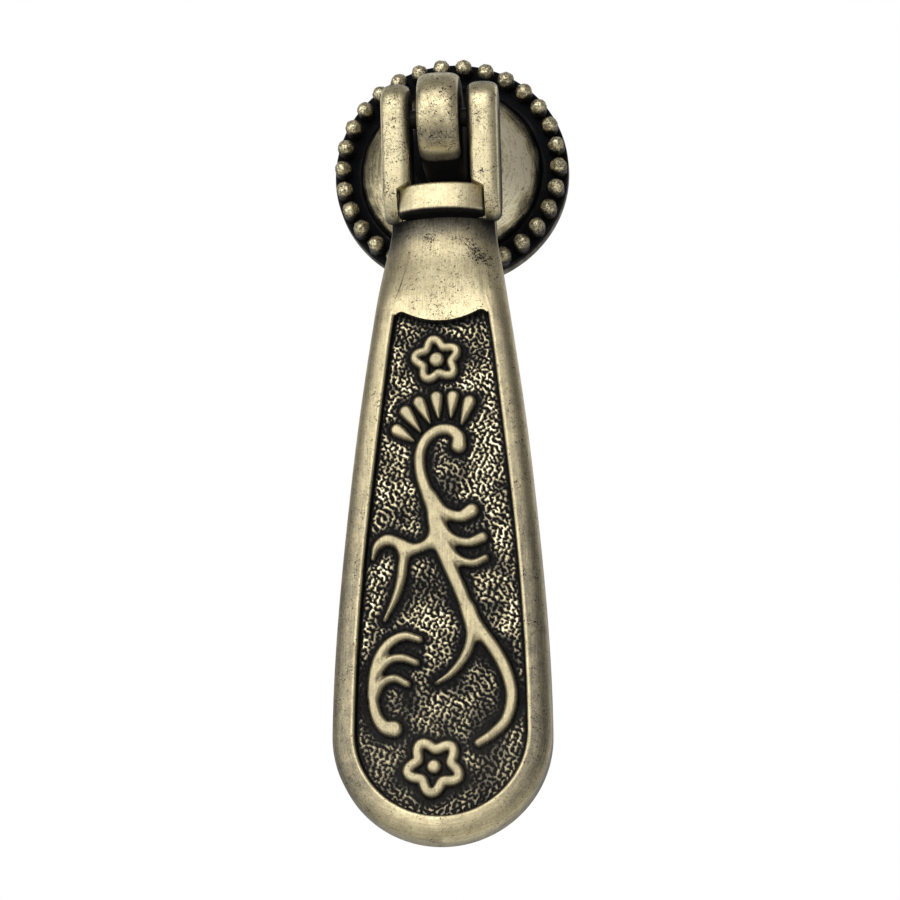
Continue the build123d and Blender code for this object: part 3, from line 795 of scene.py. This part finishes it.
patches = clouds(0.35, 4.0)
from_wall = (1 - np.abs(across_panel)) * row_panel[:, None] + 0 * floor_x
ground_wanted = ease(0.30, 1.15, carved + 0.45 * patches) * ease(0.12, 0.45, from_wall)
ground_wanted *= ease(panel_top + 1.6, panel_top + 3.1, floor_drop + 0.06 * floor_x**2)
grain_top = ease(-0.14, 0.46, grain)
ground_height = grain_relief * grain_top * (0.45 + 0.55 * ground_wanted) * ease(0.05, 0.35, carved)
ground_height *= ease(0.05, 0.3, from_wall)
sunk = row_sunk[:, None]
floor_height_here = -panel_depth * sunk + np.where(sunk == 1, rib_height + ground_height, 0)

round_neck = 1 - ease(11.5, 20.5, row_drop)[:, None]
under_pillow = 1 - ease(10.8, 16.0, row_drop)[:, None]


def neck_front_at(x):
    """Depth of the neck's rounded front at a place across it."""
    off_middle = np.clip(np.abs(x) / row_half[:, None], 0, 1)
    return -1.9 * (1 - np.sqrt(1 - (0.97 * off_middle) ** 2)) + 0.6 * (1 - off_middle**2) * under_pillow


neck_crown = round_neck * neck_front_at(floor_x)
rim_depth = np.where(rim_place < front_points,
                     rim_depth * (1 - round_neck) + neck_front_at(rim_radius) * round_neck, rim_depth)
thin = (row_thickness / thickness)[:, None]


def side_by_side(left, floor, right, back):
    """One closed loop of columns for each station: left rim, floor, right rim, back."""
    return np.concatenate([left[:, ::-1], floor, right, back], axis=1)


columns_x = side_by_side(-rim_x, floor_x, rim_x, back_x)
columns_drop = side_by_side(rim_drop, floor_drop, rim_drop, back_drop)
columns_depth = side_by_side(rim_depth * thin, floor_height_here + neck_crown, rim_depth * thin,
                             -row_thickness[:, None] + 0 * back_x)
columns_depth = columns_depth + row_front[:, None]

# How bare the plate is, with painted light and shade on the right rim and on the neck: across each rim, on
# the ribs and the tops of the pebbles, and on the neck. Dim spots are (across, drop, size) patches of the
# ground, and casting spots have the share of pits as a fourth number.
rim_rub = np.array([0.02, 0.06, 0.30, 0.80, 0.82, 0.66, 0.64, 0.64, 0.63, 0.61, 0.58, 0.54,
                    0.50, 0.44, 0.44, 0.44])
# Painted light: the right rim is painted darker across its face and lighter round its outer shoulder than the
# left one.
right_rim_rub = rim_rub + np.array([0, 0, 0, -0.06, -0.08, -0.08, -0.06, -0.04, -0.04, 0.05, 0.14, 0.14,
                                    0.04, 0, 0, 0])
on_panel = sunk > 0
tone = clouds(1.1, 9.0)
dim_spots = [(1.2, 40.4, 1.7), (-1.6, 51.2, 2.2), (-3.4, 63.4, 1.3), (2.4, 52.6, 1.2), (4.0, 24.7, 1.9),
             (5.2, 54.8, 1.5)]
casting_spots = [(4.4, 16.1, 1.0, 1.6), (3.4, 14.7, 0.8, 1.3), (2.6, 13.4, 0.7, 1.2), (5.0, 17.8, 0.6, 1.1),
                 (-1.4, 13.2, 0.8, 0.7)]


def soft_spot(x, drop, centre_x, centre_drop, size):
    """One in the middle of a round spot, fading to nought outside it."""
    return np.exp(-((x - centre_x) ** 2 + (drop - centre_drop) ** 2) / size**2)


for spot in dim_spots:
    ground_wanted *= 1 - 0.68 * soft_spot(floor_x, floor_drop, *spot)
lit_tops = grain_top * (0.20 * ease(0.05, 0.5, carved) + 0.70 * ground_wanted)
lit_tops = lit_tops * (1 - 0.42 * ease(52, 68, floor_drop)) * (0.84 + 0.6 * patches + 0.5 * tone)
lit_tops = lit_tops * (1 - 0.22 * ease(70.5, 75.5, floor_drop))
panel_rub = np.where(carved < 0, 0.04 + 0.60 * ease(0.12, 0.66, rib_height / carving_height),
                     0.06 + 0.08 * ease(60, 70, floor_drop) + lit_tops)


def neck_rub(x, drop):
    """How bare the neck is, with painted light and shade: rubbed in its middle, grey under the pillow from
    patina and painted shadow, painted shade down both sides and a little painted light towards its right.
    """
    off_middle = np.abs(x) / row_half[:, None]
    bare = 0.76 - 0.42 * (1 - ease(10.2, 15.2, drop)) + 0.035 * x / row_half[:, None]
    bare = bare - 0.10 * ease(0.55, 1.0, off_middle) * (1 - ease(17.0, 25.0, drop))
    return bare - 0.13 * ease(0.45, 0.9, off_middle) * (1 - ease(12.0, 17.0, drop))


neck_share = 1 - ease(18.0, 23.0, rim_drop)


def rim_rub_rows(across_rim, side):
    """How bare one side's rim is, with the neck's painted light and shade where the rim turns into the neck
    above the panel.
    """
    upper_rub = np.where(rim_place < front_points - 1, neck_rub(side * rim_radius, rim_drop), across_rim)
    # Brighter round the round end, darker on the flats lower down, and a little darker on the left where the
    # round end begins.
    lower_rim = (0.17 * ease(0.3, 1.3, row_angle) - 0.10 * ease(34, 54, row_drop))[:, None]
    lower_rim = lower_rim - (side < 0) * 0.06 * np.exp(-((row_angle - 0.6) / 0.4) ** 2)[:, None]
    across_rim = across_rim + lower_rim * (rim_place >= wall_points)
    rows = across_rim * (1 - neck_share) + upper_rub * neck_share
    return np.where(rim_place < wall_points, np.where(on_panel, across_rim, upper_rub), rows)


floor_rub = np.where(on_panel, panel_rub * sunk + 0.3 * (1 - sunk), neck_rub(floor_x, floor_drop))
columns_rub = side_by_side(rim_rub_rows(rim_rub, -1), floor_rub, rim_rub_rows(right_rim_rub, 1),
                           0.44 + 0 * back_x)

# Where the brush ran: how far along the outline, how far across it, and where its lines slant
shoulder_x, shoulder_drop = rim_x[:, front_points - 2], rim_drop[:, front_points - 2]
outline_run = neck_top + np.cumsum(np.hypot(np.diff(shoulder_x, prepend=shoulder_x[0]),
                                            np.diff(shoulder_drop, prepend=neck_top)))
rim_run = outline_run[:, None] + 0 * rim_x
columns_along = side_by_side(rim_run, floor_drop, rim_run, back_drop)
columns_across = side_by_side(rim_radius, np.abs(floor_x), rim_radius, np.abs(back_x) + 20)
fading = (1 - ease(30, 66, row_drop))[:, None]
columns_drift = side_by_side(-3 * fading + 0 * rim_x, 3 * fading * np.clip(1.6 * across_panel, -1, 1),
                             3 * fading + 0 * rim_x, 0 * back_x)


def casting_marks(x, drop):
    """Clusters of pits that the casting left on the neck."""
    return sum(share * soft_spot(x, drop, *spot) for *spot, share in casting_spots)


columns_pitting = side_by_side(0.27 + casting_marks(-rim_x, rim_drop),
                               np.where(on_panel, 0.0, 0.36 + casting_marks(floor_x, floor_drop)),
                               0.27 + casting_marks(rim_x, rim_drop), 0.2 + 0 * back_x)


def on_pendant(x, depth, drop):
    """Points in the room's axes from places across, forward of and below the pin on the hanging pendant."""
    return np.stack([x, -pin_place[0] - depth * cos(hang_angle) - drop * sin(hang_angle),
                     pin_place[1] + depth * sin(hang_angle) - drop * cos(hang_angle)], axis=-1)


row_count, column_count = columns_x.shape
paddle_points = on_pendant(columns_x.ravel(), columns_depth.ravel(), columns_drop.ravel())
paddle_faces = [tuple(range(column_count))] + between_rings(row_count, column_count)
paddle = make_piece("pendant_casting", paddle_points, paddle_faces, crease=60)


def carry_over(mesh, points, **values):
    """Give a merged mesh the values of the nearest of the points that it was made from."""
    finder = KDTree(len(points))
    for number, point in enumerate(points):
        finder.insert(point, number)
    finder.balance()
    nearest = [finder.find(spot)[1] for spot in places(mesh)]
    for name, numbers in values.items():
        mark(mesh, name, np.asarray(numbers).ravel()[nearest])


carry_over(paddle.data, paddle_points, rub=columns_rub, pitting=columns_pitting, along=columns_along,
           across=columns_across, drift=columns_drift)

# The fork's arms: round-ended bars, one on each side, notched below for the pillow between them
arm_gap = 6.4
arm_width = 3.02
arm_tip = (0.0, 0.9)
arm_foot = (-2.7, -7.5)
arm_tip_radius = 3.0
arm_foot_radius = 3.3
arm_squeeze = 0.30
pillow_half_width = 4.55
pillow_top = 7.58
pillow_height = 3.2
pillow_front = 0.5
pillow_end_set_back = 0.85
pillow_depth = 4.0
pillow_groove = 0.10


def fork_arm(side):
    """One arm as its own form, before the notch. The right one leans inwards to its tip."""
    points, faces = cushioned_bar(
        lambda inset: belt_line(arm_tip, arm_tip_radius, arm_foot, arm_foot_radius, inset),
        arm_width / 2, edge_reach=1.05, squareness=2.8)
    x, depth, height = np.array(points).T
    inward = arm_squeeze * ease(-5, -1, height) * (0.5 - side * x / arm_width) if side > 0 else 0
    middle = side * (arm_gap + arm_width) / 2
    return make_piece("arm", on_pendant(x + middle - inward, depth, -height), faces)


def pillow_form():
    """The pillow as its own form: a bar with a crowned front, rounded along its edges and at its ends."""
    steps = 26
    corner = 0.36
    end_round = 0.45
    height = pillow_height / 2
    quarter = np.radians(np.linspace(0, 90, 7))
    section = [(corner * (cos(turn) - 1), height - corner + corner * sin(turn)) for turn in quarter]
    section += [(-pillow_depth, height), (-pillow_depth, -height)]
    section += [(corner * (sin(turn) - 1), corner - height - corner * cos(turn)) for turn in quarter]
    points = []
    for step in range(steps + 1):
        turn = pi * step / steps
        x = -pillow_half_width * np.sign(cos(turn)) * sqrt(abs(cos(turn)))
        inset = end_round * (1 - sqrt(abs(sin(turn))))
        shift = pillow_front - pillow_end_set_back * (x / pillow_half_width) ** 2 - inset
        for depth, up in section:
            points.append((x, depth + shift if depth > -pillow_depth else depth, up * (1 - inset / height)))
    x, depth, up = np.array(points).T
    return make_piece("pillow", on_pendant(x, depth, pillow_top + height - up),
                      bar_faces(steps + 1, len(section)))


def notch_form():
    """What the fork's arms lack round the pillow: a wedge in depth that widens downward from the gap."""
    inner_side = arm_gap / 2
    edge = pillow_half_width + pillow_groove
    foot = arm_foot_radius - arm_foot[1]
    top_depth = -1.1
    stations = [(pillow_top - 1.3, inner_side - 0.1, top_depth),
                (pillow_top - 0.35, inner_side + 0.05, top_depth),
                (pillow_top + 0.05, inner_side + 0.42, top_depth),
                (pillow_top + 0.42, inner_side + 1.0, top_depth),
                (pillow_top + 0.70, edge, top_depth), (foot, edge, neck_front), (foot + 1, edge, neck_front)]
    ahead = 5.0
    points = []
    for drop, half, deepest in stations:
        points += [(-half, deepest, drop), (half, deepest, drop), (half, ahead, drop), (-half, ahead, drop)]
    x, depth, drop = np.array(points).T
    return make_piece("notch", on_pendant(x, depth, drop), bar_faces(len(stations), 4))


arms = [fork_arm(-1), fork_arm(1)]
for arm in arms:
    join_by("DIFFERENCE", arm, notch_form())
pillow = pillow_form()
for part in arms + [pillow]:
    spots = places(part.data)
    forward, up = -pin_place[0] - spots[:, 1], spots[:, 2] - pin_place[1]
    depth = forward * cos(hang_angle) + up * sin(hang_angle)
    drop = forward * sin(hang_angle) - up * cos(hang_angle)
    if part is pillow:
        facing = ease(-2.2, -0.3, depth)
        # Painted shade on the pillow's lower edge, which faces down over the neck.
        shaded_low_edge = ease(pillow_height - 0.30, pillow_height - 0.02, drop - pillow_top)
        end_grooves = ease(pillow_half_width - 0.30, pillow_half_width - 0.05, np.abs(spots[:, 0]))
        part_rub = 0.10 + 0.66 * facing - 0.60 * shaded_low_edge - 0.45 * end_grooves
        pitting = np.full(len(spots), 0.20)
    else:
        facing = ease(-1.5, 1.2, depth + 0.26 * np.clip(drop, 0, 9))
        off_arm = (np.abs(spots[:, 0]) - (arm_gap + arm_width) / 2) / (arm_width / 2)
        # Painted shade: the arms are darker on their tops above the pin and on their side faces, most on the
        # inner ones beside the eye.
        inner_side = ease(-0.97, -1.0, off_arm)
        shaded_outer_side = ease(0.97, 1.0, off_arm)
        part_rub = 0.12 + 0.66 * facing - 0.30 * ease(2.2, 3.6, -drop)
        edge_wear = np.exp(-((np.abs(off_arm) - 0.94) / 0.035) ** 2) * facing
        part_rub = (part_rub + 0.12 * edge_wear) * (1 - 0.6 * inner_side) * (1 - 0.3 * shaded_outer_side)
        pitting = np.full(len(spots), 0.66)
    mark(part.data, "rub", part_rub)
    mark(part.data, "pitting", pitting)
    mark(part.data, "along", drop)

    # Moved by 80 mm, so that the fork's brush lines are no copy of the paddle's
    mark(part.data, "across", spots[:, 0] + 80)
    mark(part.data, "drift", 0 * drop)
    finish_shading(part.data, crease=45)


def weld(pieces):
    """Join several objects into the first, which keeps its name and its point values."""
    with bpy.context.temp_override(active_object=pieces[0], selected_editable_objects=pieces,
                                   object=pieces[0], selected_objects=pieces):
        bpy.ops.object.join()
    return pieces[0]


pendant = weld([paddle] + arms + [pillow])


def length_lines(tree):
    """Coordinates of brush lines that follow the pendant's outline, 0.11 mm apart and 3 mm long."""
    across, along, drift = [add_node(tree, "ShaderNodeAttribute", attribute_name=name).outputs["Fac"]
                            for name in ("across", "along", "drift")]
    run = add_node(tree, "ShaderNodeCombineXYZ", {0: across, 1: along, 2: drift})
    return add_node(tree, "ShaderNodeMapping", {0: run, "Scale": (1 / 0.11, 1 / 3.0, 1.0)})


# Rubbed antique brass: fine streaks down the rim, pale on the ribs' backs and black between the pebbles
pendant.data.materials.append(antique_brass("rubbed_antique_brass", length_lines, brush_depth=0.30,
                                            mottle_size=1.5, pit_size=0.11, shine=0.38, mottling=0.24))
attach(pendant, "pendant")
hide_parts("pendant")
